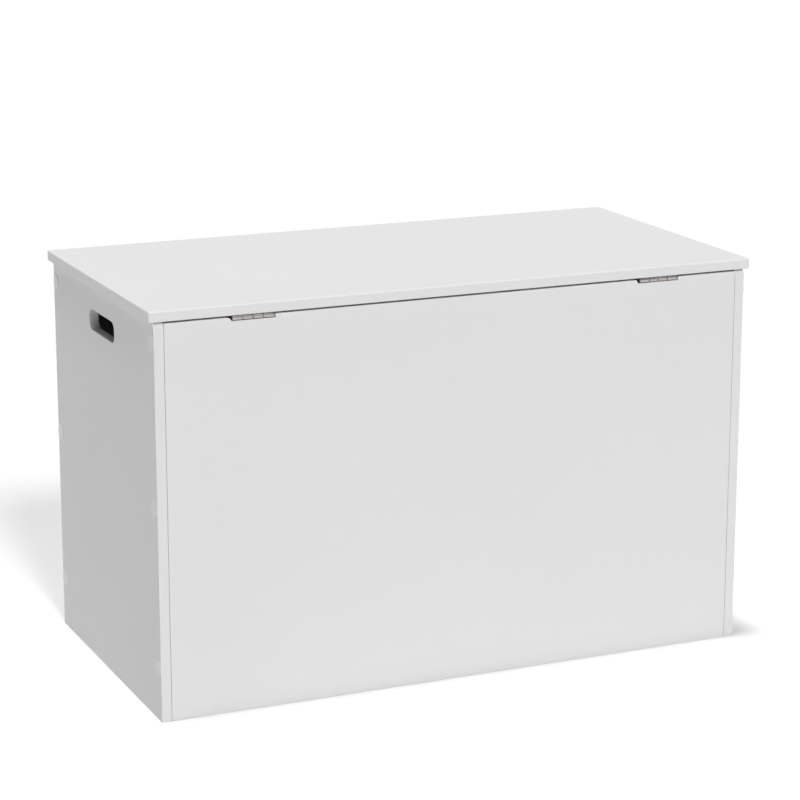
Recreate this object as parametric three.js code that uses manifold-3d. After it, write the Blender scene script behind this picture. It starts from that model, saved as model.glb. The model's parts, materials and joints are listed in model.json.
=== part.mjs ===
// A flat-pack toy box in white lacquered board, closed, standing on the floor.
//
// Four walls are screwed together at the corners. A thin bottom slides into a groove all round.
// The lid turns on two butt hinges that sit in notches in the back wall. Two folding stays hold it open.
//
// Millimetres, +Z up. The origin is on the floor, under the middle of the lid. The front faces -Y.
import * as THREE from "three";
import { mergeVertices } from "three/addons/utils/BufferGeometryUtils.js";
import Module from "manifold-3d";

const wasm = await Module();
wasm.setup();

// ---- Driving dimensions ----

const BOARD = 12; // thickness of the walls and the lid
const WALL_HEIGHT = 468;
const BOX_WIDTH = 750; // over both side walls
const LID_WIDTH = 762;
const LID_DEPTH = 390;
const LID_OVER_FRONT = 5; // how far the lid stands over the front wall
const LID_OVER_BACK = 3;
const GAP = 0.3; // hairline between neighbouring parts, and the running clearance of the pivots
const WALL_DROP = 2.7; // the front and back walls stop this far under the lid
const SIDE_CORNER_R = 8; // the side walls' top back corner, rounded so that the lid can turn

const BOTTOM = { thickness: 6, height: 18, tongue: 5.5, groove: 6 };
const HANDLE = { length: 96, height: 25, radius: 10, centreZ: 425 };
const SCOOP = { floor: 160, depth: 14, radius: 20 }; // finger gap in the front wall's top edge

const CORNER_SCREW = {
  fromEdge: 6.6, heights: { bottom: 62, middle: 252, top: 442 }, length: 39, r: 2.2, tip: 4,
};
const SCREW_HEAD = { r: 4.2, rim: 1.2, cone: 2.4, sunk: 0.8, socket: 2, socketDepth: 2.5 };
const CAP = { r: 10, fromEdge: 10.2, height: 0.7, rim: 0.35, crown: 0.9 }; // stuck over each screw

// The barrel's axis is `inset` inside the back wall's face. The leaves' plates start `relief` clear of it.
const HINGE = {
  centreX: { right: 258, left: -257 }, length: 49, knuckles: 4, r: 3.2, wall: 1.3, leaf: 9.8, screwX: 15,
  inset: 2, relief: 0.4,
};
const PIN = { r: HINGE.r - HINGE.wall - GAP, headR: 3, head: 2, shoulder: 0.9, point: 0.6 };
// Each hinge notch is longer than its hinge by a slack at the right end, where its corner slopes over `run`.
// At the other end it stops just past the head of the hinge pin.
const NOTCH = {
  right: { slack: 1.1, run: 5, fillet: 0.6 },
  left: { slack: 3.2, run: 2, fillet: 1.4 },
  headSlack: 0.5,
};

const LEAF_SCREW = { r: 1.5, headR: 2.6, lid: 10, box: 16 }; // with its depths in the lid and in the wall
const SCREW_POINT = 3;
const CROSS = { reach: 1.1, width: 0.22, depth: 0.9 }; // in a screw's head: shares of its radius, and mm deep
const LID_PILOT = 10; // depth of the screw holes in the lid

// Each stay has pivot A under the lid, B on the side wall and the elbow E. Its layers lie `play` apart.
const STAY = { armWidth: 14, armThick: 2, rivetR: 2.5, headR: 4.6, headThick: 1.2, play: 0.5 };
const FROM_HINGE = { lidPivot: 110, wallPivot: 42, wallPivotDown: 150 };
const LID_PIVOT_DOWN = 16; // from the lid's underside to pivot A
const HOUSING = {
  r: 17, height: 13.2, shoulder: 2, chamfer: 2.5, plate: 3, plateLength: 66, plateWidth: 24, screwAt: 25,
  boltR: 3, boreDepth: 9,
};
const BRACKET = { length: 46, width: 22, earTop: 30, earRim: 1, screwAt: 15, screwInset: 12.1 };
const STAY_BOLT = { headR: 7, height: 1.9, shank: 11, slot: 1.4 };
const STAY_SCREW = { r: 1.75, headR: 3.4, cone: 1.8 };

// ---- Dimensions that follow ----

const FRONT_Y = LID_OVER_FRONT - LID_DEPTH / 2; // outer faces
const BACK_Y = LID_DEPTH / 2 - LID_OVER_BACK;
const INNER_FRONT_Y = FRONT_Y + BOARD;
const INNER_BACK_Y = BACK_Y - BOARD;
const OUTER_X = BOX_WIDTH / 2;
const INNER_X = OUTER_X - BOARD;
const MID_Y = (FRONT_Y + BACK_Y) / 2;
const WALL_TOP = WALL_HEIGHT - WALL_DROP;

// The lid's hinge axis runs along X. The lid leaf's outer face lies a hairline under the lid.
const AXIS_Y = BACK_Y - HINGE.inset;
const AXIS_Z = WALL_HEIGHT - GAP - HINGE.r;
const NOTCH_FLOOR = AXIS_Z - HINGE.r - GAP;
const CAP_SEAT = 0.05; // thickness of the glue under a cap

// The hinge axis O and the stay's pivots make a parallelogram: B on the wall, A on the lid, E the elbow.
const PIVOT_A = { y: AXIS_Y - FROM_HINGE.lidPivot, z: WALL_HEIGHT - LID_PIVOT_DOWN };
const PIVOT_B = { y: AXIS_Y - FROM_HINGE.wallPivot, z: AXIS_Z - FROM_HINGE.wallPivotDown };
const PIVOT_E = { y: PIVOT_A.y + PIVOT_B.y - AXIS_Y, z: PIVOT_A.z + PIVOT_B.z - AXIS_Z };

// Layers of the stay, measured inwards from the side wall's inner face.
const HOUSING_FACE = INNER_X - GAP - HOUSING.height;
const LOWER_ARM_X = HOUSING_FACE - STAY.play - STAY.armThick; // the arm's inner face
const UPPER_ARM_X = LOWER_ARM_X - STAY.play - STAY.armThick;

// ---- Materials ----

function material(color, roughness, metalness) {
  return new THREE.MeshStandardMaterial({ color, roughness, metalness });
}
const whiteLacquer = material(0xe4e4e6, 0.45, 0);
const whitePlastic = material(0xe2e2e2, 0.5, 0);
const greyPlastic = material(0x9a9da1, 0.55, 0);
const nickel = material(0xb8b2ad, 0.32, 1);
const zinc = material(0xa9adb2, 0.4, 1);

// ---- Geometry helpers ----

// A closed three.js geometry as a manifold-3d solid.
function solid(geometry) {
  const bare = new THREE.BufferGeometry();
  bare.setAttribute("position", geometry.getAttribute("position").clone());
  if (geometry.index) bare.setIndex(geometry.index.clone());
  const merged = mergeVertices(bare, 1e-4);
  return new wasm.Manifold(
    new wasm.Mesh({
      numProp: 3,
      vertProperties: new Float32Array(merged.attributes.position.array),
      triVerts: new Uint32Array(merged.index.array),
    }),
  );
}

// A manifold-3d solid as a flat-shaded three.js geometry.
function geometryOf(body) {
  const mesh = body.getMesh();
  const positions = new Float32Array(mesh.numVert * 3);
  for (let i = 0; i < mesh.numVert; i += 1) {
    positions.set(mesh.vertProperties.subarray(i * mesh.numProp, i * mesh.numProp + 3), i * 3);
  }
  const indexed = new THREE.BufferGeometry();
  indexed.setAttribute("position", new THREE.BufferAttribute(positions, 3));
  indexed.setIndex(new THREE.BufferAttribute(new Uint32Array(mesh.triVerts), 1));
  const flat = indexed.toNonIndexed();
  flat.computeVertexNormals();
  return flat;
}

function box(x0, x1, y0, y1, z0, z1) {
  const geometry = new THREE.BoxGeometry(x1 - x0, y1 - y0, z1 - z0);
  return geometry.translate((x0 + x1) / 2, (y0 + y1) / 2, (z0 + z1) / 2);
}

// A cylinder or cone from the point `from` along +axis. r0 is its radius there and r1 at the far end.
function rod(axis, from, length, r0, r1 = r0, sides = 12) {
  const geometry = new THREE.CylinderGeometry(r1, r0, length, sides).translate(0, length / 2, 0);
  if (axis === "x") geometry.rotateZ(-Math.PI / 2);
  if (axis === "z") geometry.rotateX(Math.PI / 2);
  return geometry.translate(from.x, from.y, from.z);
}

// An outline drawn in the YZ plane and extruded along +X from x0.
function extrudeX(shape, x0, thickness, curveSegments = 4) {
  const geometry = new THREE.ExtrudeGeometry(shape, { depth: thickness, bevelEnabled: false, curveSegments });
  const turn = new THREE.Matrix4().makeBasis(
    new THREE.Vector3(0, 1, 0),
    new THREE.Vector3(0, 0, 1),
    new THREE.Vector3(1, 0, 0),
  );
  return geometry.applyMatrix4(turn).translate(x0, 0, 0);
}

// An outline drawn in the XZ plane and extruded along +Y from y0.
function extrudeY(shape, y0, thickness, curveSegments = 4) {
  const geometry = new THREE.ExtrudeGeometry(shape, { depth: thickness, bevelEnabled: false, curveSegments });
  return geometry.rotateX(Math.PI / 2).translate(0, y0 + thickness, 0);
}

// A turned piece about the Y axis, from [radius, height] pairs that start and end on the axis.
function turned(profile, sides) {
  return new THREE.LatheGeometry(profile.map(([r, y]) => new THREE.Vector2(r, y)), sides);
}

function cut(body, ...geometries) {
  return geometries.reduce((rest, geometry) => rest.subtract(solid(geometry)), body);
}

function join(...geometries) {
  return geometries.map(solid).reduce((whole, part) => whole.add(part));
}

function roundedRectangle(path, centreX, centreY, width, height, r) {
  const [x0, x1] = [centreX - width / 2, centreX + width / 2];
  const [y0, y1] = [centreY - height / 2, centreY + height / 2];
  path.moveTo(x0 + r, y0);
  path.lineTo(x1 - r, y0);
  path.absarc(x1 - r, y0 + r, r, -Math.PI / 2, 0, false);
  path.lineTo(x1, y1 - r);
  path.absarc(x1 - r, y1 - r, r, 0, Math.PI / 2, false);
  path.lineTo(x0 + r, y1);
  path.absarc(x0 + r, y1 - r, r, Math.PI / 2, Math.PI, false);
  path.lineTo(x0, y0 + r);
  path.absarc(x0 + r, y0 + r, r, Math.PI, 1.5 * Math.PI, false);
  return path;
}

// A named mesh whose geometry is drawn in the part's frame, and whose own origin is moved to `at`.
function piece(name, body, finish, at = { x: 0, y: 0, z: 0 }) {
  const mesh = new THREE.Mesh(geometryOf(body).translate(-at.x, -at.y, -at.z), finish);
  mesh.name = name;
  mesh.position.set(at.x, at.y, at.z);
  return mesh;
}

// ---- Side wall, with its corner screws and their caps ----

const cornerScrewPlaces = ["front", "back"].flatMap((end) =>
  Object.entries(CORNER_SCREW.heights).map(([level, z]) => {
    const inward = (distance) => (end === "front" ? FRONT_Y + distance : BACK_Y - distance);
    return { label: `${end}_${level}`, y: inward(CORNER_SCREW.fromEdge), capY: inward(CAP.fromEdge), z };
  }),
);

function sideWall() {
  const outline = new THREE.Shape();
  outline.moveTo(FRONT_Y, 0);
  outline.lineTo(BACK_Y, 0);
  outline.lineTo(BACK_Y, WALL_HEIGHT - SIDE_CORNER_R);
  outline.absarc(BACK_Y - SIDE_CORNER_R, WALL_HEIGHT - SIDE_CORNER_R, SIDE_CORNER_R, 0, Math.PI / 2, false);
  outline.lineTo(FRONT_Y, WALL_HEIGHT);
  outline.lineTo(FRONT_Y, 0);
  outline.holes.push(
    roundedRectangle(new THREE.Path(), MID_Y, HANDLE.centreZ, HANDLE.length, HANDLE.height, HANDLE.radius),
  );
  const groove = box(
    INNER_X - 1,
    INNER_X + BOTTOM.groove,
    INNER_FRONT_Y - BOTTOM.groove,
    INNER_BACK_Y + BOTTOM.groove,
    BOTTOM.height - GAP,
    BOTTOM.height + BOTTOM.thickness + GAP,
  );
  const screwHoles = cornerScrewPlaces.flatMap(({ y, z }) => {
    const depth = SCREW_HEAD.sunk + SCREW_HEAD.rim + GAP;
    const coneAt = { x: OUTER_X - depth - SCREW_HEAD.cone, y, z };
    return [
      rod("x", { x: INNER_X - 1, y, z }, BOARD + 2, CORNER_SCREW.r + 2 * GAP),
      rod("x", coneAt, SCREW_HEAD.cone, CORNER_SCREW.r + 2 * GAP, SCREW_HEAD.r + GAP),
      rod("x", { x: OUTER_X - depth, y, z }, depth + 1, SCREW_HEAD.r + GAP),
    ];
  });
  return cut(solid(extrudeX(outline, INNER_X, BOARD, 8)), groove, ...screwHoles);
}

// Drawn upright: the head's top at y = 0 and the point down. It has a hexagon socket.
function cornerScrew() {
  const { r, length } = CORNER_SCREW;
  const body = turned(
    [
      [0, -length],
      [r, -length + CORNER_SCREW.tip],
      [r + GAP, -SCREW_HEAD.rim - SCREW_HEAD.cone],
      [SCREW_HEAD.r, -SCREW_HEAD.rim],
      [SCREW_HEAD.r, 0],
      [0, 0],
    ],
    10,
  );
  const { socket, socketDepth } = SCREW_HEAD;
  return cut(solid(body), new THREE.CylinderGeometry(socket, socket, 2 * socketDepth, 6));
}

// Drawn upright: the flat face that lies on the wall is at y = 0, and the crown is up.
function screwCap() {
  const { r, rim, height, crown } = CAP;
  return solid(
    turned(
      [
        [0, 0],
        [r, 0],
        [r, rim],
        [r * crown, height],
        [0, height],
      ],
      24,
    ),
  );
}

function sideAssembly(side) {
  const group = new THREE.Group();
  group.add(piece(`side_panel_${side}`, sideWall(), whiteLacquer, { x: INNER_X, y: 0, z: 0 }));
  for (const { label, y, capY, z } of cornerScrewPlaces) {
    const screw = piece(`corner_screw_${side}_${label}`, cornerScrew(), zinc);
    screw.position.set(OUTER_X - SCREW_HEAD.sunk, y, z);
    const cap = piece(`screw_cap_${side}_${label}`, screwCap(), whitePlastic);
    cap.position.set(OUTER_X + CAP_SEAT, capY, z);
    for (const mesh of [screw, cap]) {
      mesh.rotation.z = -Math.PI / 2;
      group.add(mesh);
    }
  }
  return group;
}

// ---- Front, back and bottom ----

// Pilot holes in both ends of the front or back wall for the corner screws.
function endHoles(y) {
  const depth = CORNER_SCREW.length - BOARD + 3;
  return [-1, 1].flatMap((sign) =>
    Object.values(CORNER_SCREW.heights).map((z) => {
      const inner = sign * (INNER_X - depth);
      const outer = sign * (INNER_X + 1);
      return rod("x", { x: Math.min(inner, outer), y, z }, depth + 1, CORNER_SCREW.r + GAP);
    }),
  );
}

function bottomGroove(y0, y1) {
  return box(-OUTER_X, OUTER_X, y0, y1, BOTTOM.height - GAP, BOTTOM.height + BOTTOM.thickness + GAP);
}

function frontWall() {
  const half = INNER_X - GAP;
  const { radius, depth } = SCOOP;
  // Each end of the scoop is two arcs of one radius that meet halfway down.
  const turn = Math.acos(1 - depth / (2 * radius));
  const shoulder = 2 * radius * Math.sin(turn);
  const floorEnd = SCOOP.floor / 2;
  const outline = new THREE.Shape();
  outline.moveTo(-half, 0);
  outline.lineTo(half, 0);
  outline.lineTo(half, WALL_TOP);
  outline.lineTo(floorEnd + shoulder, WALL_TOP);
  outline.absarc(floorEnd + shoulder, WALL_TOP - radius, radius, Math.PI / 2, Math.PI / 2 + turn, false);
  outline.absarc(floorEnd, WALL_TOP - depth + radius, radius, -Math.PI / 2 + turn, -Math.PI / 2, true);
  outline.absarc(-floorEnd, WALL_TOP - depth + radius, radius, -Math.PI / 2, -Math.PI / 2 - turn, true);
  outline.absarc(-floorEnd - shoulder, WALL_TOP - radius, radius, Math.PI / 2 - turn, Math.PI / 2, false);
  outline.lineTo(-half, WALL_TOP);
  outline.lineTo(-half, 0);
  return cut(
    solid(extrudeY(outline, FRONT_Y, BOARD, 8)),
    bottomGroove(INNER_FRONT_Y - BOTTOM.groove, INNER_FRONT_Y + 1),
    ...endHoles(FRONT_Y + CORNER_SCREW.fromEdge),
  );
}

// The outline of one hinge notch, drawn from its right end to its left end.
function notchOutline(shape, side) {
  const { slack, run, fillet } = NOTCH[side];
  const { headSlack } = NOTCH;
  const right = HINGE.centreX[side] + HINGE.length / 2 + slack;
  const left = HINGE.centreX[side] - HINGE.length / 2 - PIN.head - headSlack;
  shape.lineTo(right + run, WALL_TOP);
  shape.quadraticCurveTo(right + run / 4, WALL_TOP - run / 8, right, NOTCH_FLOOR + fillet);
  shape.absarc(right - fillet, NOTCH_FLOOR + fillet, fillet, 0, -Math.PI / 2, true);
  shape.absarc(left + headSlack, NOTCH_FLOOR + headSlack, headSlack, -Math.PI / 2, -Math.PI, true);
  shape.lineTo(left, WALL_TOP);
}

const leafScrewY = AXIS_Y - (HINGE.r + HINGE.relief + HINGE.leaf) / 2;
const leafScrewX = Object.values(HINGE.centreX).flatMap((x) => [x - HINGE.screwX, x + HINGE.screwX]);

function backWall() {
  const half = INNER_X - GAP;
  const outline = new THREE.Shape();
  outline.moveTo(-half, 0);
  outline.lineTo(half, 0);
  outline.lineTo(half, WALL_TOP);
  notchOutline(outline, "right");
  notchOutline(outline, "left");
  outline.lineTo(-half, WALL_TOP);
  outline.lineTo(-half, 0);
  const pilotFoot = NOTCH_FLOOR - LEAF_SCREW.box;
  const pilots = leafScrewX.map((x) =>
    rod("z", { x, y: leafScrewY, z: pilotFoot }, LEAF_SCREW.box + 1, LEAF_SCREW.r + GAP, undefined, 8),
  );
  return cut(
    solid(extrudeY(outline, INNER_BACK_Y, BOARD, 8)),
    bottomGroove(INNER_BACK_Y - 1, INNER_BACK_Y + BOTTOM.groove),
    ...endHoles(BACK_Y - CORNER_SCREW.fromEdge),
    ...pilots,
  );
}

function bottomBoard() {
  const { tongue, height, thickness } = BOTTOM;
  const x = INNER_X + tongue;
  return solid(box(-x, x, INNER_FRONT_Y - tongue, INNER_BACK_Y + tongue, height, height + thickness));
}

// ---- Lid ----

const bracketX = UPPER_ARM_X + STAY.armThick + STAY.play + STAY.armThick; // the ear's outer face
const bracketScrewX = bracketX - BRACKET.screwInset;

function lidBoard() {
  const [halfWidth, halfDepth] = [LID_WIDTH / 2, LID_DEPTH / 2];
  const board = box(-halfWidth, halfWidth, -halfDepth, halfDepth, WALL_HEIGHT, WALL_HEIGHT + BOARD);
  const pilot = (x, y, r) => rod("z", { x, y, z: WALL_HEIGHT - 1 }, LID_PILOT + 1, r + GAP, undefined, 8);
  const hingePilots = leafScrewX.map((x) => pilot(x, leafScrewY, LEAF_SCREW.r));
  const stayPilots = [-1, 1].flatMap((side) =>
    [-1, 1].map((end) => pilot(side * bracketScrewX, PIVOT_A.y + end * BRACKET.screwAt, STAY_SCREW.r)),
  );
  return cut(solid(board), ...hingePilots, ...stayPilots);
}

// ---- Hinges ----

const knuckleLength = HINGE.length / HINGE.knuckles;

// One leaf of a hinge, drawn about its middle on the axis. `up` is 1 for the lid's leaf, -1 for the wall's.
// `first` is the first knuckle that belongs to it, and every second one after that.
function hingeLeaf(up, first) {
  const { r, wall, leaf, length, relief } = HINGE;
  const outer = up * r;
  const inner = up * (r - wall);
  const [low, high] = [Math.min(outer, inner), Math.max(outer, inner)];
  let body = solid(box(-length / 2, length / 2, -leaf, -r - relief, low, high));
  for (let k = first; k < HINGE.knuckles; k += 2) {
    const x0 = -length / 2 + k * knuckleLength + (k === 0 ? 0 : GAP / 2);
    const x1 = -length / 2 + (k + 1) * knuckleLength - (k === HINGE.knuckles - 1 ? 0 : GAP / 2);
    const web = box(x0, x1, -r - 2 * relief, 0, low, high);
    body = body.add(solid(rod("x", { x: x0, y: 0, z: 0 }, x1 - x0, r, r, 16))).add(solid(web));
  }
  const bore = rod("x", { x: -length, y: 0, z: 0 }, 2 * length, PIN.r + GAP);
  const screwY = leafScrewY - AXIS_Y;
  const holes = [-1, 1].map((end) => {
    const wide = LEAF_SCREW.headR + GAP;
    const narrow = LEAF_SCREW.r + GAP;
    const z = low - 0.1;
    const [r0, r1] = up > 0 ? [wide, narrow] : [narrow, wide];
    return rod("z", { x: end * HINGE.screwX, y: screwY, z }, wall + 0.2, r0, r1);
  });
  return cut(body, bore, ...holes);
}

// Drawn upright about the middle of the leaves, with a domed head on top and a blunt point below.
function hingePin() {
  const { r, headR, head, shoulder, point } = PIN;
  const reach = HINGE.length / 2;
  return solid(
    turned(
      [
        [0, -reach],
        [r - point / 2, -reach],
        [r, -reach + point],
        [r, reach + GAP],
        [headR, reach + GAP],
        [headR, reach + shoulder],
        [headR * 0.75, reach + head],
        [0, reach + head],
      ],
      16,
    ),
  );
}

// A countersunk cross-head screw, drawn upright: the head's top at y = 0 and the point down.
function woodScrew(r, headR, length) {
  const body = turned(
    [
      [0, -length],
      [r, -length + SCREW_POINT],
      [r, r - headR],
      [headR, 0],
      [0, 0],
    ],
    10,
  );
  const bar = () => new THREE.BoxGeometry(headR * CROSS.reach, 2 * CROSS.depth, headR * CROSS.width);
  return cut(solid(body), bar(), bar().rotateY(Math.PI / 2));
}

function hinge(side) {
  const group = new THREE.Group();
  const centreX = HINGE.centreX[side];
  group.position.set(centreX, AXIS_Y, AXIS_Z);
  group.add(piece(`hinge_leaf_lid_${side}`, hingeLeaf(1, 0), nickel));
  group.add(piece(`hinge_leaf_back_${side}`, hingeLeaf(-1, 1), nickel));
  const pin = piece(`hinge_pin_${side}`, hingePin(), nickel);
  pin.rotation.z = Math.PI / 2; // its head is at the left
  group.add(pin);
  const inset = HINGE.r - HINGE.wall; // inner face of each leaf
  const { r, headR } = LEAF_SCREW;
  for (const [end, sign] of Object.entries({ outer: Math.sign(centreX), inner: -Math.sign(centreX) })) {
    const at = [sign * HINGE.screwX, leafScrewY - AXIS_Y];
    const down = piece(`hinge_screw_back_${side}_${end}`, woodScrew(r, headR, LEAF_SCREW.box - 1), nickel);
    down.position.set(...at, -inset);
    down.rotation.x = Math.PI / 2;
    const up = piece(`hinge_screw_lid_${side}_${end}`, woodScrew(r, headR, LEAF_SCREW.lid), nickel);
    up.position.set(...at, inset);
    up.rotation.x = -Math.PI / 2;
    group.add(down, up);
  }
  return group;
}

// ---- Lid stays ----

// A flat bar between two pivots, drawn from the first pivot along +Y, with its inner face at x = 0.
function stayArm(length, holes) {
  const half = STAY.armWidth / 2;
  const outline = new THREE.Shape();
  outline.absarc(0, 0, half, Math.PI / 2, 1.5 * Math.PI, false);
  outline.absarc(length, 0, half, -Math.PI / 2, Math.PI / 2, false);
  outline.lineTo(0, half);
  holes.forEach((r, i) => {
    outline.holes.push(new THREE.Path().absarc(i * length, 0, r + GAP, 0, 2 * Math.PI, true));
  });
  return solid(extrudeX(outline, 0, STAY.armThick, 6));
}

// Drawn upright about its middle. It holds two bars with the stay's play between them, and has two heads.
function stayRivet() {
  const { rivetR, headR, headThick, armThick, play } = STAY;
  const grip = armThick + play / 2 + GAP;
  const side = [
    [rivetR, 0],
    [rivetR, grip],
    [headR, grip],
    [headR * 0.7, grip + headThick],
    [0, grip + headThick],
  ];
  const mirrored = side.map(([r, y]) => [r, -y]).reverse();
  return solid(turned([...mirrored.slice(0, -1), ...side.slice(1)], 12));
}

// A round friction housing on an oblong plate, with a bore for the pivot bolt and two countersunk holes.
function stayHousing() {
  const { r, shoulder, chamfer, plate, plateLength, plateWidth, screwAt, boltR, boreDepth } = HOUSING;
  const { y, z } = PIVOT_B;
  const outline = roundedRectangle(new THREE.Shape(), y, z, plateWidth, plateLength, plateWidth / 2 - 0.01);
  const inner = INNER_X - GAP;
  const rim = rod("x", { x: HOUSING_FACE, y, z }, shoulder, r - chamfer, r, 24);
  const drum = HOUSING.height - shoulder - plate / 3;
  const barrel = rod("x", { x: HOUSING_FACE + shoulder, y, z }, drum, r, r, 24);
  const body = join(extrudeX(outline, inner - plate, plate), barrel, rim);
  const bore = rod("x", { x: HOUSING_FACE - 1, y, z }, boreDepth + 1, boltR + GAP);
  const holes = [-1, 1].flatMap((end) => {
    const at = z + end * screwAt;
    const face = inner - plate;
    return [
      rod("x", { x: face - 1, y, z: at }, plate + 2, STAY_SCREW.r + GAP),
      rod("x", { x: face - 0.01, y, z: at }, STAY_SCREW.cone, STAY_SCREW.headR + GAP, STAY_SCREW.r + GAP),
    ];
  });
  return cut(body, bore, ...holes);
}

// The bolt that holds the lower arm on the housing, drawn upright with its head's underside at y = 0.
function stayBolt() {
  const { boltR } = HOUSING;
  const { headR, height, shank, slot } = STAY_BOLT;
  const body = turned(
    [
      [0, -shank],
      [boltR, -shank],
      [boltR, 0],
      [headR, 0],
      [headR, height * 0.6],
      [headR * 0.8, height],
      [0, height],
    ],
    14,
  );
  return cut(solid(body), new THREE.BoxGeometry(1.3 * headR, height, slot).translate(0, height, 0));
}

// An angle bracket under the lid: a flange with two countersunk holes, and an ear that hangs down to pivot A.
function stayBracket() {
  const top = WALL_HEIGHT - GAP;
  const { y, z } = PIVOT_A;
  const earX = bracketX - STAY.armThick;
  const tip = STAY.armWidth / 2 + BRACKET.earRim;
  const half = BRACKET.earTop / 2;
  const lean = Math.acos(tip / Math.hypot(half, top - z)) - Math.atan2(half, top - z);
  const ear = new THREE.Shape();
  ear.moveTo(y + half, top);
  ear.lineTo(y - half, top);
  ear.absarc(y, z, tip, Math.PI / 2 + Math.PI / 2 - lean, 2 * Math.PI + lean, false);
  ear.lineTo(y + half, top);
  ear.holes.push(new THREE.Path().absarc(y, z, STAY.rivetR + GAP, 0, 2 * Math.PI, true));
  const flange = box(
    bracketX - BRACKET.width,
    bracketX,
    y - BRACKET.length / 2,
    y + BRACKET.length / 2,
    top - STAY.armThick,
    top,
  );
  const holes = [-1, 1].flatMap((end) => {
    const at = { x: bracketScrewX, y: y + end * BRACKET.screwAt, z: top - STAY.armThick - 0.01 };
    return [
      rod("z", { ...at, z: at.z - 1 }, 5, STAY_SCREW.r + GAP),
      rod("z", at, STAY_SCREW.cone, STAY_SCREW.headR + GAP, STAY_SCREW.r + GAP),
    ];
  });
  return cut(join(extrudeX(ear, earX, STAY.armThick, 6), flange), ...holes);
}

function lidStay(side) {
  const group = new THREE.Group();
  group.add(piece(`stay_housing_${side}`, stayHousing(), greyPlastic, { x: INNER_X, ...PIVOT_B }));
  group.add(piece(`stay_bracket_${side}`, stayBracket(), zinc, { x: bracketX, ...PIVOT_A }));

  const bolt = piece(`stay_bolt_${side}`, stayBolt(), zinc);
  bolt.position.set(LOWER_ARM_X - GAP, PIVOT_B.y, PIVOT_B.z);
  bolt.rotation.z = Math.PI / 2;
  group.add(bolt);

  const lowerLength = Math.hypot(PIVOT_E.y - PIVOT_B.y, PIVOT_E.z - PIVOT_B.z);
  const lower = piece(`stay_lower_arm_${side}`, stayArm(lowerLength, [HOUSING.boltR, STAY.rivetR]), zinc);
  lower.position.set(LOWER_ARM_X, PIVOT_B.y, PIVOT_B.z);
  lower.rotation.x = Math.atan2(PIVOT_E.z - PIVOT_B.z, PIVOT_E.y - PIVOT_B.y);
  group.add(lower);

  const upperLength = Math.hypot(PIVOT_E.y - PIVOT_A.y, PIVOT_E.z - PIVOT_A.z);
  const upper = piece(`stay_upper_arm_${side}`, stayArm(upperLength, [STAY.rivetR, STAY.rivetR]), zinc);
  upper.position.set(UPPER_ARM_X, PIVOT_A.y, PIVOT_A.z);
  upper.rotation.x = Math.atan2(PIVOT_E.z - PIVOT_A.z, PIVOT_E.y - PIVOT_A.y);
  group.add(upper);

  const middle = LOWER_ARM_X - STAY.play / 2;
  for (const [label, pivot] of Object.entries({ elbow: PIVOT_E, lid: PIVOT_A })) {
    const rivet = piece(`stay_${label}_rivet_${side}`, stayRivet(), zinc);
    rivet.position.set(middle, pivot.y, pivot.z);
    rivet.rotation.z = -Math.PI / 2;
    group.add(rivet);
  }
  return group;
}

// ---- The toy box ----

const toyBox = new THREE.Group();
toyBox.add(piece("front_panel", frontWall(), whiteLacquer, { x: 0, y: FRONT_Y, z: 0 }));
toyBox.add(piece("back_panel", backWall(), whiteLacquer, { x: 0, y: INNER_BACK_Y, z: 0 }));
toyBox.add(piece("bottom_panel", bottomBoard(), whiteLacquer, { x: 0, y: 0, z: BOTTOM.height }));
toyBox.add(piece("lid_panel", lidBoard(), whiteLacquer, { x: 0, y: 0, z: WALL_HEIGHT }));

const rightHalf = new THREE.Group();
rightHalf.add(sideAssembly("right"), lidStay("right"));
const leftHalf = new THREE.Group();
leftHalf.add(sideAssembly("left"), lidStay("left"));
leftHalf.scale.x = -1; // the left side mirrors the right
toyBox.add(rightHalf, leftHalf);

toyBox.add(hinge("right"), hinge("left"));

export default toyBox;
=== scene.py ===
"""A flat-pack toy box in white lacquered board, seen from behind, on a pale studio floor.

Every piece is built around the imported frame, and takes its place and size from the frame's boxes. In metres.
"""

import json
import math

import bmesh
import bpy
from mathutils import Matrix, Vector


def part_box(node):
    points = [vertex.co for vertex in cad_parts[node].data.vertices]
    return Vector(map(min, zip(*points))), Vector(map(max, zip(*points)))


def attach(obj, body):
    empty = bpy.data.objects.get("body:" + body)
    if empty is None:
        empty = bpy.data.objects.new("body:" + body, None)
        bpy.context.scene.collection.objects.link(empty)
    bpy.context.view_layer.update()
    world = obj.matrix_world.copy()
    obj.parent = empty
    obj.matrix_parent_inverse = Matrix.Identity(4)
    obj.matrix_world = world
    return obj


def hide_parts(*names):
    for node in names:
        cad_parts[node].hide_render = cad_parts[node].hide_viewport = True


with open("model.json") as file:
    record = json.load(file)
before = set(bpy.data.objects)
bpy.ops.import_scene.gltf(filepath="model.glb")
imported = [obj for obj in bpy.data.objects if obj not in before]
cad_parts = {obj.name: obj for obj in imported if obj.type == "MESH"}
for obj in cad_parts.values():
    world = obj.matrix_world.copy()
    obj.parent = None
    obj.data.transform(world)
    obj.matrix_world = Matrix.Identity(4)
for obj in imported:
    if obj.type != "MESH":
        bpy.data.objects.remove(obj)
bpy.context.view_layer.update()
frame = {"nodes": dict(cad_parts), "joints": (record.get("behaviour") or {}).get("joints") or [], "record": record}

MM = 0.001
RECORD = frame["record"]
BODY_OF = {node: body for body, nodes in RECORD["behaviour"]["bodies"].items() for node in nodes}
SLOT_OF = {row["node"]: row["material_slot"] for row in RECORD["subparts"]}
SIDES = {"right": 1, "left": -1}

# ---- Sizes of the fine detail ----

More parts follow.
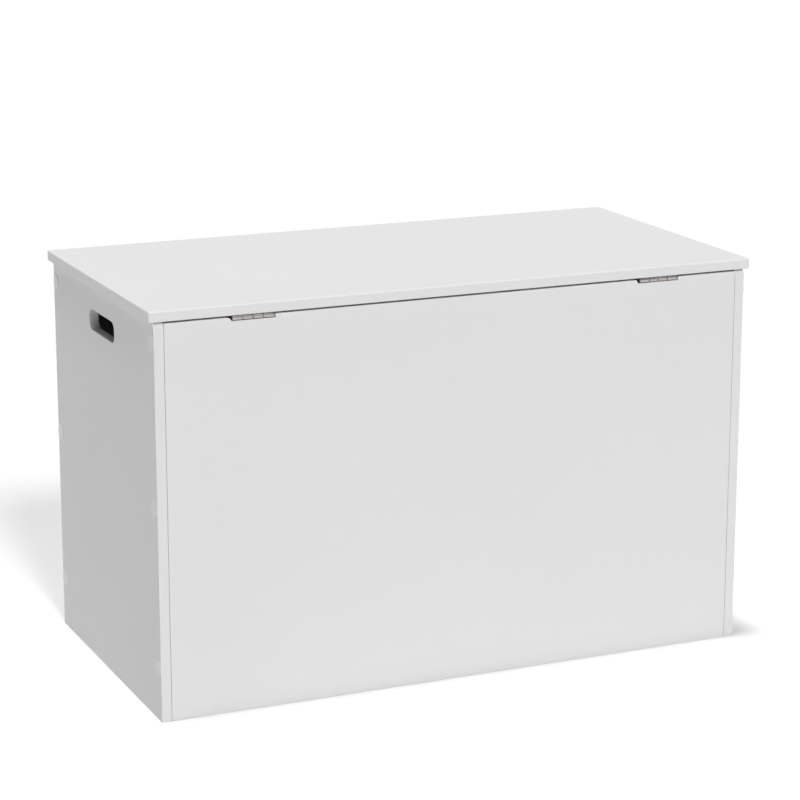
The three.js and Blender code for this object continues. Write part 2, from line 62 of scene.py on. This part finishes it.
LID_EDGE = {"corner": 2.4 * MM, "top": 1.5 * MM, "under": 0.5 * MM}  # radii of its sanded edges
WALL_EDGE = 0.55 * MM
BOTTOM_EDGE = 0.3 * MM
ARM_EDGE = 0.3 * MM  # on the stamped steel of the stays
CROSS = {"width": 0.22, "depth": 0.9, "above": 0.3, "taper": 0.4}  # in shares of a cross recess's reach
CORNER_SCREW = {"rim": 1.2 * MM, "cone": 2.4 * MM, "thread": 2.4 * MM, "core": 2.1 * MM}
CORNER_POINT = {"tip": 1.5 * MM, "core": 4 * MM, "core_end": 12 * MM, "thread": 12.5 * MM}  # from its tip up
CORNER_SOCKET = {"radius": 2 * MM, "depth": 2.5 * MM}
CAP_PRESS = 0.7  # how much of its height a cap keeps once it is pressed on
HINGE_WALL = 1.3 * MM
HINGE_EDGE = 0.3 * MM
KNUCKLES = 4
KNUCKLE_GAP = 0.8 * MM
PLATE_START = 3.6 * MM  # a leaf is a flat plate up to this distance from the hinge axis
CURL_END = math.radians(155)  # where the rolled knuckle stops, short of the plate
CURL_STEPS = 26
LEAF_SCREW = {"radius": 1.5 * MM, "head": 2.6 * MM}
LEAF_SINK = {"wide": 2.75 * MM, "narrow": 1.6 * MM}  # radii of its countersunk hole
PIN = {"play": 0.2 * MM, "tip": 0.5 * MM, "head": 1.8 * MM, "dome": 1.6 * MM}
RIVET = {"shank": 2.5 * MM, "head": 1.2 * MM}
BOLT = {"head": 1.9 * MM, "shank": 3 * MM, "point": 0.4 * MM, "crown": 1.1 * MM, "socket": 2.6 * MM}
HOUSING = {"plate": 3 * MM, "oblong": 24 * MM, "edge": 0.6 * MM, "shoulder": 1.6 * MM, "groove": 0.9 * MM}
HOUSING_BORE = {"radius": 3.3 * MM, "depth": 8 * MM}
HOUSING_SINK = {"narrow": 2.1 * MM, "wide": 3.8 * MM, "cone": 1.8 * MM}
FLUTES = {"count": 12, "radius": 0.7 * MM}  # round the housing's drum
STAY_SCREW = {"radius": 1.75 * MM, "head": 3.4 * MM, "length": 10 * MM}
STAY_SCREW_REACH = 25 * MM  # from the housing's middle to each of its screws
BRACKET_SCREW_REACH = 15 * MM
BRACKET_SCREW_INSET = 12.1 * MM  # from the bracket's ear to its screws
BRACKET_STEEL = 2 * MM
ROUND = 48  # sides of a turned piece
WELD = 1e-6  # points closer than this are one point


# ---- Materials ----

class Surface:
    """A node material that is built up one feature at a time."""

    def __init__(self, name, **values):
        self.material = bpy.data.materials.new(name)
        self.material.use_nodes = True
        self.tree = self.material.node_tree
        self.shader = self.tree.nodes["Principled BSDF"]
        for socket, value in values.items():
            self.shader.inputs[socket.replace("_", " ")].default_value = value

    def node(self, kind, **values):
        made = self.tree.nodes.new(kind)
        for socket, value in values.items():
            made.inputs[socket.replace("_", " ")].default_value = value
        return made

    def noise(self, scale, detail=2.0, stretch=(1, 1, 1)):
        """Noise with features about 1 / scale metres across."""
        place = self.node("ShaderNodeTexCoord")
        mapping = self.node("ShaderNodeMapping", Scale=stretch)
        texture = self.node("ShaderNodeTexNoise", Scale=scale, Detail=detail)
        self.tree.links.new(place.outputs["Object"], mapping.inputs["Vector"])
        self.tree.links.new(mapping.outputs["Vector"], texture.inputs["Vector"])
        return texture.outputs["Fac"]

    def vary_roughness(self, low, high, scale, stretch=(1, 1, 1)):
        spread = self.node("ShaderNodeMapRange", From_Min=0.3, From_Max=0.7, To_Min=low, To_Max=high)
        self.tree.links.new(self.noise(scale, 3.0, stretch), spread.inputs["Value"])
        self.tree.links.new(spread.outputs["Result"], self.shader.inputs["Roughness"])
        return self

    def vary_colour(self, first, second, scale, stretch=(1, 1, 1)):
        ramp = self.node("ShaderNodeValToRGB")
        ramp.color_ramp.elements[0].position = 0.35
        ramp.color_ramp.elements[0].color = (*first, 1)
        ramp.color_ramp.elements[1].position = 0.65
        ramp.color_ramp.elements[1].color = (*second, 1)
        self.tree.links.new(self.noise(scale, 4.0, stretch), ramp.inputs["Fac"])
        self.tree.links.new(ramp.outputs["Color"], self.shader.inputs["Base Color"])
        return self

    def emboss(self, *layers):
        """Bumps on bumps. Each layer is (scale, height in metres, stretch)."""
        below = None
        for scale, height, stretch in layers:
            bump = self.node("ShaderNodeBump", Strength=1.0, Distance=height)
            self.tree.links.new(self.noise(scale, 2.0, stretch), bump.inputs["Height"])
            if below:
                self.tree.links.new(below.outputs["Normal"], bump.inputs["Normal"])
            below = bump
        self.tree.links.new(below.outputs["Normal"], self.shader.inputs["Normal"])
        return self


EVEN = (1, 1, 1)
ALONG_X = (0.04, 1, 1)


def white_lacquer():
    surface = Surface("white_lacquer", IOR=1.45, Specular_IOR_Level=0.35)
    surface.vary_colour((0.696, 0.693, 0.698), (0.704, 0.701, 0.706), 5)
    surface.vary_roughness(0.48, 0.52, 30)
    return surface.emboss((420, 0.008 * MM, EVEN), (60, 0.01 * MM, EVEN)).material


def white_plastic():
    surface = Surface("white_plastic", IOR=1.49, Specular_IOR_Level=0.5)
    surface.vary_colour((0.715, 0.712, 0.715), (0.725, 0.722, 0.725), 60)
    surface.vary_roughness(0.30, 0.42, 200)
    return surface.emboss((1600, 0.006 * MM, EVEN)).material


def grey_plastic():
    surface = Surface("grey_plastic", IOR=1.49, Specular_IOR_Level=0.45)
    surface.vary_colour((0.33, 0.335, 0.345), (0.36, 0.365, 0.375), 120)
    surface.vary_roughness(0.48, 0.62, 300)
    return surface.emboss((2400, 0.02 * MM, EVEN)).material


def nickel():
    surface = Surface("nickel", Metallic=1.0)
    surface.vary_colour((0.44, 0.415, 0.395), (0.51, 0.485, 0.465), 240)
    surface.vary_roughness(0.24, 0.36, 500, ALONG_X)
    return surface.emboss((1400, 0.003 * MM, ALONG_X)).material


def zinc():
    surface = Surface("zinc", Metallic=1.0)
    surface.vary_colour((0.55, 0.56, 0.58), (0.61, 0.62, 0.64), 150)
    surface.vary_roughness(0.30, 0.42, 350)
    return surface.emboss((900, 0.004 * MM, EVEN)).material


FINISH = {
    "white_board": white_lacquer(),
    "cap_white": white_plastic(),
    "hinge_nickel": nickel(),
    "screw_zinc": zinc(),
    "stay_zinc": zinc(),
    "housing_grey": grey_plastic(),
}


# ---- Mesh tools ----

def arc(centre, radius, start, end, steps):
    """Points along an arc, with the angles in degrees."""
    turns = [math.radians(start + (end - start) * i / steps) for i in range(steps + 1)]
    return [(centre[0] + radius * math.cos(t), centre[1] + radius * math.sin(t)) for t in turns]


def turned(profile, sides=ROUND):
    """A closed solid turned about Z, from (radius, height) pairs that start and end on the axis."""
    solid = bmesh.new()
    turns = [2 * math.pi * i / sides for i in range(sides)]
    rings = []
    for radius, height in profile:
        around = turns if radius > WELD else turns[:1]
        rings.append([solid.verts.new((radius * math.cos(t), radius * math.sin(t), height)) for t in around])
    for low, high in zip(rings, rings[1:]):
        for i in range(sides):
            j = (i + 1) % sides
            corners = [low[i % len(low)], low[j % len(low)], high[j % len(high)], high[i % len(high)]]
            solid.faces.new(list(dict.fromkeys(corners)))
    bmesh.ops.recalc_face_normals(solid, faces=solid.faces)
    return solid


def prism(outline, low, high, taper=1.0):
    """A closed solid between two heights, from an outline in XY that is scaled by taper at the low end."""
    solid = bmesh.new()
    bottom = [solid.verts.new((x * taper, y * taper, low)) for x, y in outline]
    top = [solid.verts.new((x, y, high)) for x, y in outline]
    solid.faces.new(bottom[::-1])
    solid.faces.new(top)
    for i in range(len(outline)):
        j = (i + 1) % len(outline)
        solid.faces.new([bottom[i], bottom[j], top[j], top[i]])
    return solid


def from_cad(node):
    """A CAD node's solid with its flat faces whole again."""
    solid = bmesh.new()
    solid.from_mesh(frame["nodes"][node].data)
    bmesh.ops.remove_doubles(solid, verts=solid.verts, dist=WELD)
    bmesh.ops.dissolve_limit(solid, angle_limit=math.radians(1), verts=solid.verts, edges=solid.edges)
    return solid


def soften(solid, radius, segments=3, among=None):
    """Rounds the sharp edges of a solid, or those among some of its edges."""
    sharp = [e for e in among or solid.edges if e.is_manifold and e.calc_face_angle() > math.radians(60)]
    bmesh.ops.bevel(
        solid, geom=sharp, offset=radius, offset_type="OFFSET", segments=segments,
        profile=0.5, affect="EDGES", clamp_overlap=False,
    )
    return solid


def as_object(solid, name):
    mesh = bpy.data.meshes.new(name)
    solid.to_mesh(mesh)
    solid.free()
    made = bpy.data.objects.new(name, mesh)
    bpy.context.scene.collection.objects.link(made)
    return made


def combine(solid, others, operation):
    """The solid with each of the others cut away or joined on."""
    base = as_object(solid, "base")
    tools = [as_object(other, "tool") for other in others]
    for tool in tools:
        step = base.modifiers.new("step", "BOOLEAN")
        step.object = tool
        step.operation = operation
        step.solver = "EXACT"
    bpy.context.view_layer.update()
    result = bmesh.new()
    result.from_object(base, bpy.context.evaluated_depsgraph_get())
    bmesh.ops.remove_doubles(result, verts=result.verts, dist=WELD)
    for made in [base, *tools]:
        mesh = made.data
        bpy.data.objects.remove(made)
        bpy.data.meshes.remove(mesh)
    return result


def moved(solid, matrix):
    bmesh.ops.transform(solid, matrix=matrix, verts=solid.verts)
    return solid


def facing(place, direction):
    """The matrix that puts a piece drawn up the Z axis at a place, with its top towards a direction."""
    return Matrix.Translation(place) @ Vector(direction).to_track_quat("Z", "Y").to_matrix().to_4x4()


def smooth_mesh(solid, name, material, sharp_angle=40):
    """The finished mesh, smooth but for its sharp edges."""
    for face in solid.faces:
        face.smooth = True
    for edge in solid.edges:
        edge.smooth = edge.is_manifold and edge.calc_face_angle() < math.radians(sharp_angle)
    mesh = bpy.data.meshes.new(name)
    solid.to_mesh(mesh)
    solid.free()
    mesh.materials.append(material)
    return mesh


def piece(name, mesh, body, replaced=(), matrix=None):
    """Puts a mesh in the scene. It rides on a body and stands for the CAD nodes that it replaces."""
    made = bpy.data.objects.new(name, mesh)
    bpy.context.scene.collection.objects.link(made)
    if matrix:
        made.matrix_world = matrix
    weighted = made.modifiers.new("flat_faces", "WEIGHTED_NORMAL")
    weighted.keep_sharp = True
    weighted.weight = 100  # so that only the rounded edges look round
    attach(made, body)
    if replaced:
        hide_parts(*replaced)
    return made


def stand_in(node, mesh, matrix=None):
    """A piece that replaces one CAD node, on the same body and with the same finish."""
    return piece(f"{node}.fine", mesh, BODY_OF[node], [node], matrix)


def mesh_for(node, solid):
    return smooth_mesh(solid, f"{node}.fine", FINISH[SLOT_OF[node]])


def middle(node):
    low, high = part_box(node)
    return (low + high) / 2


# ---- Boards ----

def lid():
    """The lid's upright corners are rounded most, and its underside's edges least."""
    solid = from_cad("lid_panel")
    under, top = (corner.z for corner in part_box("lid_panel"))

    def edges_between(low, high):
        found = []
        for edge in solid.edges:
            a, b = sorted(v.co.z for v in edge.verts)
            if abs(a - low) < WELD and abs(b - high) < WELD:
                found.append(edge)
        return found

    soften(solid, LID_EDGE["corner"], 6, edges_between(under, top))
    soften(solid, LID_EDGE["top"], 4, edges_between(top, top))
    soften(solid, LID_EDGE["under"], 3, edges_between(under, under))
    stand_in("lid_panel", mesh_for("lid_panel", solid))


def boards():
    lid()
    walls = {node: WALL_EDGE for node in ("front_panel", "back_panel", "side_panel_right", "side_panel_left")}
    for node, edge in {"bottom_panel": BOTTOM_EDGE, **walls}.items():
        stand_in(node, mesh_for(node, soften(from_cad(node), edge, segments=4)))


# ---- Screws and caps ----

def cross_recess(arm):
    """A tapered cross that cuts the driver recess of a screw whose head is at height 0."""
    half = arm * CROSS["width"]
    outline = [
        (arm, -half), (arm, half), (half, half), (half, arm), (-half, arm), (-half, half),
        (-arm, half), (-arm, -half), (-half, -half), (-half, -arm), (half, -arm), (half, -half),
    ]
    return prism(outline, -arm * CROSS["depth"], arm * CROSS["above"], taper=CROSS["taper"])


def wood_screw(radius, head, length):
    """A countersunk screw with a slightly raised head, drawn point down, with the head's rim at height 0."""
    rise = head * 0.12
    crown = (head**2 + rise**2) / (2 * rise)
    half_angle = math.degrees(math.asin(head / crown))
    top = arc((0, rise - crown), crown, 90 - half_angle, 90, 6)
    shank = [(0, -length), (radius * 0.5, -length + 1.6 * radius), (radius, -length + 3 * radius)]
    solid = turned([*shank, (radius, radius - head), (head, -0.04 * head), *top[:-1], (0, rise)], 32)
    return combine(solid, [cross_recess(head * 0.55)], "DIFFERENCE")


def hinge_screws():
    for part, sign in {"back": 1, "lid": -1}.items():
        mesh = None
        for side in SIDES:
            for end in ("outer", "inner"):
                node = f"hinge_screw_{part}_{side}_{end}"
                low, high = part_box(node)
                mesh = mesh or mesh_for(node, wood_screw(**LEAF_SCREW, length=high.z - low.z))
                top = Vector((middle(node).x, middle(node).y, high.z if sign > 0 else low.z))
                stand_in(node, mesh, facing(top, (0, 0, sign)))


def corner_screw(length, head):
    """A furniture screw with a hexagon socket, drawn point down from its head's top at height 0."""
    rim, cone, thread, core = CORNER_SCREW.values()
    tip, core_start, core_end, thread_start = (up - length for up in CORNER_POINT.values())
    solid = turned(
        [
            (0, -length), (core * 0.6, tip), (core, core_start), (core, core_end), (thread, thread_start),
            (thread, -rim - cone), (head, -rim), (head, -0.2 * MM), (head - 0.2 * MM, 0), (0, 0),
        ],
        32,
    )
    socket = prism(arc((0, 0), CORNER_SOCKET["radius"], 0, 300, 5), -CORNER_SOCKET["depth"], 1 * MM)
    return combine(solid, [socket], "DIFFERENCE")


def cover_cap(radius, height):
    """A thin cover with a soft rim, pressed flat on the board, drawn with its back at height 0."""
    height *= CAP_PRESS
    lip = 0.45 * height
    rim = arc((radius - lip, lip), lip, -30, 80, 8)
    dome = [(radius * share, height - (height - 2 * lip) * share**2.2) for share in (0.85, 0.65, 0.45, 0.25)]
    return turned([(0, 0), (radius - 0.8 * lip, 0), *rim, *dome, (0, height)], 64)


def corner_fixings():
    screw_mesh = cap_mesh = None
    for side, sign in SIDES.items():
        for end in ("front", "back"):
            for level in ("bottom", "middle", "top"):
                place = f"{side}_{end}_{level}"
                screw, cap = f"corner_screw_{place}", f"screw_cap_{place}"
                low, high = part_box(screw)
                if not screw_mesh:
                    screw_mesh = mesh_for(screw, corner_screw(high.x - low.x, (high.y - low.y) / 2))
                head = Vector((high.x if sign > 0 else low.x, middle(screw).y, middle(screw).z))
                stand_in(screw, screw_mesh, facing(head, (sign, 0, 0)))
                low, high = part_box(cap)
                if not cap_mesh:
                    cap_mesh = mesh_for(cap, cover_cap((high.y - low.y) / 2, high.x - low.x))
                back = Vector((low.x if sign > 0 else high.x, middle(cap).y, middle(cap).z))
                stand_in(cap, cap_mesh, facing(back, (sign, 0, 0)))


# ---- Hinges ----

def leaf_sections(radius, reach, up):
    """A leaf's plate and its rolled knuckle, across the axis, each as its outer and its inner points."""
    curl = [math.pi / 2 - (2.5 * math.pi - CURL_END) * i / CURL_STEPS for i in range(CURL_STEPS + 1)]
    plate, rolled = [], []
    for level in (radius, radius - HINGE_WALL):
        plate.append([(-reach, up * level), (-PLATE_START, up * level)])
        turn = [(level * math.cos(t), up * level * math.sin(t)) for t in curl]
        rolled.append([(-PLATE_START, up * level), *turn])
    return plate, rolled


def leaf(length, radius, reach, up, first):
    """A hinge leaf about its own axis. It has every second knuckle, from the one numbered first."""
    plate, curl = leaf_sections(radius, reach, up)
    pitch = length / KNUCKLES
    end, half_gap = length / 2, KNUCKLE_GAP / 2
    own = []
    for k in range(first, KNUCKLES, 2):
        a, b = k * pitch - end, (k + 1) * pitch - end
        own.append((a if a <= -end + WELD else a + half_gap, b if b >= end - WELD else b - half_gap))
    breaks = sorted({-end, end, *[x for pair in own for x in pair]})
    solid = bmesh.new()

    def face(*corners):
        solid.faces.new([solid.verts.new(corner) for corner in corners])

    def skin(x0, x1, points):
        for (y0, z0), (y1, z1) in zip(points, points[1:]):
            face((x0, y0, z0), (x1, y0, z0), (x1, y1, z1), (x0, y1, z1))

    def cap(x, section):
        outer, inner = section
        for (a, b), (c, d) in zip(zip(outer, outer[1:]), zip(inner, inner[1:])):
            face(*[(x, y, z) for y, z in (a, b, d, c)])

    for x0, x1 in zip(breaks, breaks[1:]):
        skin(x0, x1, plate[0])
        skin(x0, x1, plate[1])
        skin(x0, x1, [plate[0][0], plate[1][0]])
        if any(a - WELD < x0 and x1 < b + WELD for a, b in own):
            skin(x0, x1, curl[0])
            skin(x0, x1, curl[1])
            skin(x0, x1, [curl[0][-1], curl[1][-1]])
            cap(x0, curl)
            cap(x1, curl)
        else:
            skin(x0, x1, [plate[0][-1], plate[1][-1]])
    cap(-end, plate)
    cap(end, plate)
    bmesh.ops.remove_doubles(solid, verts=solid.verts, dist=WELD)
    bmesh.ops.recalc_face_normals(solid, faces=solid.faces)
    return soften(solid, HINGE_EDGE, segments=2)


def countersink(place, inner, up):
    """The cone-shaped hole in a leaf for a screw. It is widest at the leaf's inner face."""
    wide, narrow = LEAF_SINK.values()
    deep = HINGE_WALL + 0.1 * MM
    cone = turned([(0, -deep), (narrow, -deep), (wide, 0), (wide, 0.5 * MM), (0, 0.5 * MM)], 32)
    return moved(cone, facing((place[0], place[1], up * inner), (0, 0, -up)))


def hinge_pin(length, radius, head):
    """A pin drawn up the Z axis from its foot at height 0, with a domed head on top."""
    tip, under, tall = PIN["tip"], length - PIN["head"], PIN["dome"]
    dome = [(r, length - tall + z * tall / head) for r, z in arc((0, 0), head, 0, 90, 10)]
    shank = [(0, 0), (radius - tip, 0), (radius, tip), (radius, under)]
    return turned([*shank, (head, under), *dome[:-1], (0, length)], 40)


def hinges():
    axis = Vector(next(j["pos_m"] for j in frame["joints"] if j["name"] == "lid_hinge"))
    for side in SIDES:
        for part, up, first in (("lid", 1, 0), ("back", -1, 1)):
            node = f"hinge_leaf_{part}_{side}"
            low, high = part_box(node)
            radius = (high.z - low.z) / 2
            inner = radius - HINGE_WALL
            centre = Vector((middle(node).x, axis.y, axis.z))
            solid = leaf(high.x - low.x, radius, axis.y - low.y, up, first)
            holes = []
            for end in ("outer", "inner"):
                at = middle(f"hinge_screw_{part}_{side}_{end}") - centre
                holes.append(countersink((at.x, at.y), inner, up))
            stand_in(node, mesh_for(node, combine(solid, holes, "DIFFERENCE")), Matrix.Translation(centre))
        pin = f"hinge_pin_{side}"
        low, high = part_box(pin)
        mesh = mesh_for(pin, hinge_pin(high.x - low.x, inner - PIN["play"], (high.z - low.z) / 2))
        stand_in(pin, mesh, facing((high.x, axis.y, axis.z), (-1, 0, 0)))


# ---- Lid stays ----

def stamped(node):
    """A stamped steel piece: the CAD solid with its edges broken."""
    stand_in(node, mesh_for(node, soften(from_cad(node), ARM_EDGE, segments=3)))


def rivet(length, head):
    """A rivet with a domed head at each end, drawn up the Z axis about its middle."""
    shank, tall = RIVET["shank"], RIVET["head"]
    grip = length / 2 - tall
    dome = [(head * math.cos(t), grip + 0.15 * tall + 0.85 * tall * math.sin(t))
            for t in [math.pi / 2 * i / 8 for i in range(9)]]
    upper = [(shank, 0), (shank, grip), (head, grip), *dome[:-1], (0, grip + tall)]
    lower = [(r, -z) for r, z in reversed(upper[1:])]
    return turned([*lower, *upper[1:]], 40)


def pivot_bolt(length, head):
    """A flanged bolt with a hexagon socket, drawn up the Z axis from its foot at height 0."""
    shank, point, round_off = BOLT["shank"], BOLT["point"], BOLT["crown"]
    under = length - BOLT["head"]
    crown = arc((head - round_off, length - round_off), round_off, 0, 90, 8)
    stem = [(0, 0), (shank - point, 0), (shank, point), (shank, under)]
    socket = prism(arc((0, 0), BOLT["socket"], 0, 300, 5), length - 1.5 * MM, length + 1 * MM)
    return combine(turned([*stem, (head, under), *crown, (0, length)]), [socket], "DIFFERENCE")


def stadium(width, length, steps=24):
    """An oblong outline with round ends, longest along Y."""
    half, straight = width / 2, (length - width) / 2
    return arc((0, straight), half, 0, 180, steps) + arc((0, -straight), half, 180, 360, steps)


def friction_housing(node):
    """A round moulded housing on an oblong plate, drawn with its back at height 0 and its face up."""
    low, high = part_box(node)
    width, tall, deep = high.y - low.y, high.z - low.z, high.x - low.x
    radius, plate = width / 2, HOUSING["plate"]
    base = soften(prism(stadium(HOUSING["oblong"], tall), 0, plate), HOUSING["edge"])
    ring, cut, slope = radius * 0.72, HOUSING["groove"], 0.6 * MM
    groove = [(ring + cut, deep), (ring + slope, deep - cut), (ring - slope, deep - cut), (ring - cut, deep)]
    round_off = HOUSING["shoulder"]
    shoulder = arc((radius - round_off, deep - round_off), round_off, 0, 90, 8)
    drum = turned([(0, plate / 2), (radius, plate / 2), *shoulder, *groove, (0, deep)], 96)
    body = combine(base, [drum], "UNION")
    bore, foot = HOUSING_BORE["radius"], deep - HOUSING_BORE["depth"]
    holes = [turned([(0, foot), (bore, foot), (bore, deep + MM), (0, deep + MM)], 32)]
    narrow, wide, cone = HOUSING_SINK.values()
    for end in (-1, 1):
        sink = turned(
            [
                (0, -MM), (narrow, -MM), (narrow, plate - cone),
                (wide, plate), (wide, plate + MM), (0, plate + MM),
            ],
            32,
        )
        holes.append(moved(sink, Matrix.Translation((0, end * STAY_SCREW_REACH, 0))))
    step = 360 / FLUTES["count"]
    for i in range(FLUTES["count"]):
        flute = prism(arc((0, 0), FLUTES["radius"], 0, 315, 7), plate + 2 * MM, deep + MM)
        turn = Matrix.Rotation(math.radians(step * i + step / 2), 4, "Z")
        holes.append(moved(flute, turn @ Matrix.Translation((radius, 0, 0))))
    return combine(body, holes, "DIFFERENCE")


def stay_screws(side, sign, screw_mesh):
    """The small screws that hold a stay to the side wall and to the lid."""
    housing, bracket = f"stay_housing_{side}", f"stay_bracket_{side}"
    low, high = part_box(housing)
    face = (high.x if sign > 0 else low.x) - sign * HOUSING["plate"]
    for label, end in (("upper", 1), ("lower", -1)):
        place = Vector((face, middle(housing).y, middle(housing).z + end * STAY_SCREW_REACH))
        matrix = facing(place, (-sign, 0, 0))
        piece(f"housing_screw_{side}_{label}", screw_mesh, "box", matrix=matrix)
    low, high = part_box(bracket)
    ear = high.x if sign > 0 else low.x
    for label, end in (("front", -1), ("back", 1)):
        y = middle(bracket).y + end * BRACKET_SCREW_REACH
        place = Vector((ear - sign * BRACKET_SCREW_INSET, y, high.z - BRACKET_STEEL))
        matrix = facing(place, (0, 0, -1))
        piece(f"bracket_screw_{side}_{label}", screw_mesh, "lid", matrix=matrix)


def lid_stays():
    screw_mesh = smooth_mesh(wood_screw(**STAY_SCREW), "stay_screw", FINISH["stay_zinc"])
    for side, sign in SIDES.items():
        for node in (f"stay_lower_arm_{side}", f"stay_upper_arm_{side}", f"stay_bracket_{side}"):
            stamped(node)
        for node in (f"stay_elbow_rivet_{side}", f"stay_lid_rivet_{side}"):
            low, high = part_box(node)
            mesh = mesh_for(node, rivet(high.x - low.x, (high.y - low.y) / 2))
            stand_in(node, mesh, facing(middle(node), (sign, 0, 0)))
        bolt = f"stay_bolt_{side}"
        low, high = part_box(bolt)
        foot = Vector((high.x if sign > 0 else low.x, middle(bolt).y, middle(bolt).z))
        mesh = mesh_for(bolt, pivot_bolt(high.x - low.x, (high.y - low.y) / 2))
        stand_in(bolt, mesh, facing(foot, (-sign, 0, 0)))
        housing = f"stay_housing_{side}"
        low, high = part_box(housing)
        back = Vector((high.x if sign > 0 else low.x, middle(housing).y, middle(housing).z))
        upright = Matrix(((0, 0, -sign, 0), (sign, 0, 0, 0), (0, 1, 0, 0), (0, 0, 0, 1)))
        if upright.determinant() < 0:
            upright = upright @ Matrix.Diagonal((-1, 1, 1, 1))
        mesh = mesh_for(housing, friction_housing(housing))
        stand_in(housing, mesh, Matrix.Translation(back) @ upright)
        stay_screws(side, sign, screw_mesh)


# ---- Studio ----

CAMERA = {"azimuth": 156.26, "elevation": 14.24, "distance": 3.2628, "lens": 119.58, "roll": 0.034}
CAMERA_TARGET = (0, 0.0128, 0.3002)
FRONT_LEFT = (-0.77, -0.64, 0)
FLOOR_REACH = 80  # metres to each side
LIGHTS = {  # the direction that each comes from, its spread in degrees, its strength and its colour
    "overhead": ((0.07, 0, 1), 6, 0.625, (0.99, 1.0, 0.995)),
    "rear": ((0.05, 0.78, 0.62), 12, 0.55, (0.98, 0.99, 1.0)),
    "front": ((0, -0.98, 0.20), 20, 0.08, (1.0, 0.995, 0.99)),
}


def camera():
    """A long lens, from behind the box and a little above it."""
    turn, rise = math.radians(CAMERA["azimuth"]), math.radians(CAMERA["elevation"])
    back = Vector((math.sin(turn) * math.cos(rise), -math.cos(turn) * math.cos(rise), math.sin(rise)))
    data = bpy.data.cameras.new("camera")
    data.lens = CAMERA["lens"]
    data.sensor_width = 36
    data.clip_start, data.clip_end = 0.05, 500
    made = bpy.data.objects.new("camera", data)
    bpy.context.scene.collection.objects.link(made)
    made.location = Vector(CAMERA_TARGET) + back * CAMERA["distance"]
    roll = Matrix.Rotation(math.radians(CAMERA["roll"]), 4, "Z")
    made.rotation_euler = ((-back).to_track_quat("-Z", "Y").to_matrix().to_4x4() @ roll).to_euler()
    bpy.context.scene.camera = made


def floor():
    surface = Surface("pale_floor", Specular_IOR_Level=0.1)
    surface.vary_colour((0.89, 0.876, 0.882), (0.90, 0.886, 0.892), 2)
    surface.vary_roughness(0.75, 0.85, 3)
    sheet = bmesh.new()
    bmesh.ops.create_grid(sheet, x_segments=1, y_segments=1, size=FLOOR_REACH)
    made = as_object(sheet, "floor")
    made.data.materials.append(surface.material)


def soft_light(name, direction, spread, strength, colour):
    """A big, far light. Its strength is the brightness that it gives a white sheet that faces it."""
    data = bpy.data.lights.new(name, "SUN")
    data.angle = math.radians(spread)
    data.energy = math.pi * strength
    data.color = colour
    made = bpy.data.objects.new(name, data)
    bpy.context.scene.collection.objects.link(made)
    made.rotation_euler = Vector(direction).to_track_quat("Z", "Y").to_euler()


def studio():
    """A pale studio, white round the horizon, lit from overhead and behind, and weakly from the front."""
    world = bpy.data.worlds.new("studio")
    bpy.context.scene.world = world
    world.use_nodes = True
    tree = world.node_tree
    place = tree.nodes.new("ShaderNodeTexCoord")
    split = tree.nodes.new("ShaderNodeSeparateXYZ")
    across = tree.nodes.new("ShaderNodeVectorMath")
    across.operation = "DOT_PRODUCT"
    across.inputs[1].default_value = FRONT_LEFT
    walls = tree.nodes.new("ShaderNodeMapRange")
    rise = tree.nodes.new("ShaderNodeMapRange")
    rise.interpolation_type = "SMOOTHSTEP"
    for socket, value in {"From Min": -0.15, "From Max": 0.9, "To Min": 0.0, "To Max": 0.66}.items():
        walls.inputs[socket].default_value = value
    for socket, value in {"From Min": 0.10, "From Max": 0.12, "To Min": 0.97}.items():
        rise.inputs[socket].default_value = value
    tree.links.new(place.outputs["Generated"], split.inputs["Vector"])
    tree.links.new(place.outputs["Generated"], across.inputs[0])
    tree.links.new(across.outputs["Value"], walls.inputs["Value"])
    tree.links.new(split.outputs["Z"], rise.inputs["Value"])
    tree.links.new(walls.outputs["Result"], rise.inputs["To Max"])
    tree.links.new(rise.outputs["Result"], tree.nodes["Background"].inputs["Strength"])
    tree.nodes["Background"].inputs["Color"].default_value = (1.0, 0.985, 0.992, 1)
    for name, settings in LIGHTS.items():
        soft_light(name, *settings)
    bpy.context.scene.view_settings.view_transform = "Standard"
    bpy.context.scene.view_settings.look = "None"


camera()
studio()
floor()
boards()
corner_fixings()
hinges()
hinge_screws()
lid_stays()
